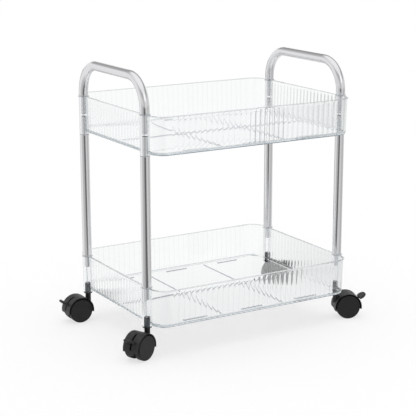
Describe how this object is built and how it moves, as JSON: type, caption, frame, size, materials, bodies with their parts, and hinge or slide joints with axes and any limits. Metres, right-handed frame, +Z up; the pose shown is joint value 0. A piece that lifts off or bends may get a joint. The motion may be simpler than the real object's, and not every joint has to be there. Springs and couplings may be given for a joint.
{
  "type": "storage trolley",
  "caption": "Rolling storage trolley: clear fluted trays stacked on metal tubes that close into end handles, on braked swivel casters.",
  "frame": {"origin": "on the floor, midway between the four posts", "axes": "+X along the trays' long side to the right, +Y to the back, +Z up"},
  "size_m": [0.5882, 0.3556, 0.557],
  "materials": {
    "clear_plastic": "clear, polished, moulded",
    "satin_tube": "satin silver",
    "black_plastic": "black, fine moulded grain",
    "wheel_plastic": "black nylon, smooth",
    "grey_plastic": "slate grey, smooth",
    "steel": "zinc plated"
  },
  "bodies": {
    "frame": {"lower_tray": "clear_plastic", "upper_tray": "clear_plastic", "left_handle": "satin_tube", "right_handle": "satin_tube", "front_left_post": "satin_tube", "front_right_post": "satin_tube", "back_left_post": "satin_tube", "back_right_post": "satin_tube", "front_left_stem": "steel", "front_left_stem_sleeve": "grey_plastic", "front_left_washer": "black_plastic", "front_right_stem": "steel", "front_right_stem_sleeve": "grey_plastic", "front_right_washer": "black_plastic", "back_left_stem": "steel", "back_left_stem_sleeve": "grey_plastic", "back_left_washer": "black_plastic", "back_right_stem": "steel", "back_right_stem_sleeve": "grey_plastic", "back_right_washer": "black_plastic"},
    "front_left_swivel": {"front_left_housing": "black_plastic", "front_left_axle": "steel", "front_left_brake_pin": "steel"},
    "front_left_roll_left": {"front_left_left_wheel": "wheel_plastic"},
    "front_left_roll_right": {"front_left_right_wheel": "wheel_plastic"},
    "front_left_brake": {"front_left_brake_lever": "black_plastic"},
    "front_right_swivel": {"front_right_housing": "black_plastic", "front_right_axle": "steel", "front_right_brake_pin": "steel"},
    "front_right_roll_left": {"front_right_left_wheel": "wheel_plastic"},
    "front_right_roll_right": {"front_right_right_wheel": "wheel_plastic"},
    "front_right_brake": {"front_right_brake_lever": "black_plastic"},
    "back_left_swivel": {"back_left_housing": "black_plastic", "back_left_axle": "steel", "back_left_brake_pin": "steel"},
    "back_left_roll_left": {"back_left_left_wheel": "wheel_plastic"},
    "back_left_roll_right": {"back_left_right_wheel": "wheel_plastic"},
    "back_left_brake": {"back_left_brake_lever": "black_plastic"},
    "back_right_swivel": {"back_right_housing": "black_plastic", "back_right_axle": "steel", "back_right_brake_pin": "steel"},
    "back_right_roll_left": {"back_right_left_wheel": "wheel_plastic"},
    "back_right_roll_right": {"back_right_right_wheel": "wheel_plastic"},
    "back_right_brake": {"back_right_brake_lever": "black_plastic"}
  },
  "joints": [
    {"name": "front_left_swivel_turn", "type": "hinge", "parent": "frame", "child": "front_left_swivel", "pos_m": [-0.2286, -0.1314, 0.045], "axis": [0, 0, 1], "continuous": true},
    {"name": "front_left_left_wheel_roll", "type": "hinge", "parent": "front_left_swivel", "child": "front_left_roll_left", "pos_m": [-0.25107, -0.14117, 0.0254], "axis": [0.3987, -0.9171, 0], "continuous": true},
    {"name": "front_left_right_wheel_roll", "type": "hinge", "parent": "front_left_swivel", "child": "front_left_roll_right", "pos_m": [-0.25107, -0.14117, 0.0254], "axis": [0.3987, -0.9171, 0], "continuous": true},
    {"name": "front_left_brake_press", "type": "hinge", "parent": "front_left_swivel", "child": "front_left_brake", "pos_m": [-0.26264, -0.1462, 0.03423], "axis": [0.3987, -0.9171, 0], "range_deg": [0, 16]},
    {"name": "front_right_swivel_turn", "type": "hinge", "parent": "frame", "child": "front_right_swivel", "pos_m": [0.2286, -0.1314, 0.045], "axis": [0, 0, 1], "continuous": true},
    {"name": "front_right_left_wheel_roll", "type": "hinge", "parent": "front_right_swivel", "child": "front_right_roll_left", "pos_m": [0.25136, -0.14046, 0.0254], "axis": [0.3697, 0.9291, 0], "continuous": true},
    {"name": "front_right_right_wheel_roll", "type": "hinge", "parent": "front_right_swivel", "child": "front_right_roll_right", "pos_m": [0.25136, -0.14046, 0.0254], "axis": [0.3697, 0.9291, 0], "continuous": true},
    {"name": "front_right_brake_press", "type": "hinge", "parent": "front_right_swivel", "child": "front_right_brake", "pos_m": [0.26309, -0.14512, 0.03423], "axis": [0.3697, 0.9291, 0], "range_deg": [0, 16]},
    {"name": "back_left_swivel_turn", "type": "hinge", "parent": "frame", "child": "back_left_swivel", "pos_m": [-0.2286, 0.1314, 0.045], "axis": [0, 0, 1], "continuous": true},
    {"name": "back_left_left_wheel_roll", "type": "hinge", "parent": "back_left_swivel", "child": "back_left_roll_left", "pos_m": [-0.2531, 0.1314, 0.0254], "axis": [0, -1, 0], "continuous": true},
    {"name": "back_left_right_wheel_roll", "type": "hinge", "parent": "back_left_swivel", "child": "back_left_roll_right", "pos_m": [-0.2531, 0.1314, 0.0254], "axis": [0, -1, 0], "continuous": true},
    {"name": "back_left_brake_press", "type": "hinge", "parent": "back_left_swivel", "child": "back_left_brake", "pos_m": [-0.26571, 0.1314, 0.03423], "axis": [0, -1, 0], "range_deg": [0, 16]},
    {"name": "back_right_swivel_turn", "type": "hinge", "parent": "frame", "child": "back_right_swivel", "pos_m": [0.2286, 0.1314, 0.045], "axis": [0, 0, 1], "continuous": true},
    {"name": "back_right_left_wheel_roll", "type": "hinge", "parent": "back_right_swivel", "child": "back_right_roll_left", "pos_m": [0.2531, 0.1314, 0.0254], "axis": [0, 1, 0], "continuous": true},
    {"name": "back_right_right_wheel_roll", "type": "hinge", "parent": "back_right_swivel", "child": "back_right_roll_right", "pos_m": [0.2531, 0.1314, 0.0254], "axis": [0, 1, 0], "continuous": true},
    {"name": "back_right_brake_press", "type": "hinge", "parent": "back_right_swivel", "child": "back_right_brake", "pos_m": [0.26571, 0.1314, 0.03423], "axis": [0, 1, 0], "range_deg": [0, 16]}
  ]
}
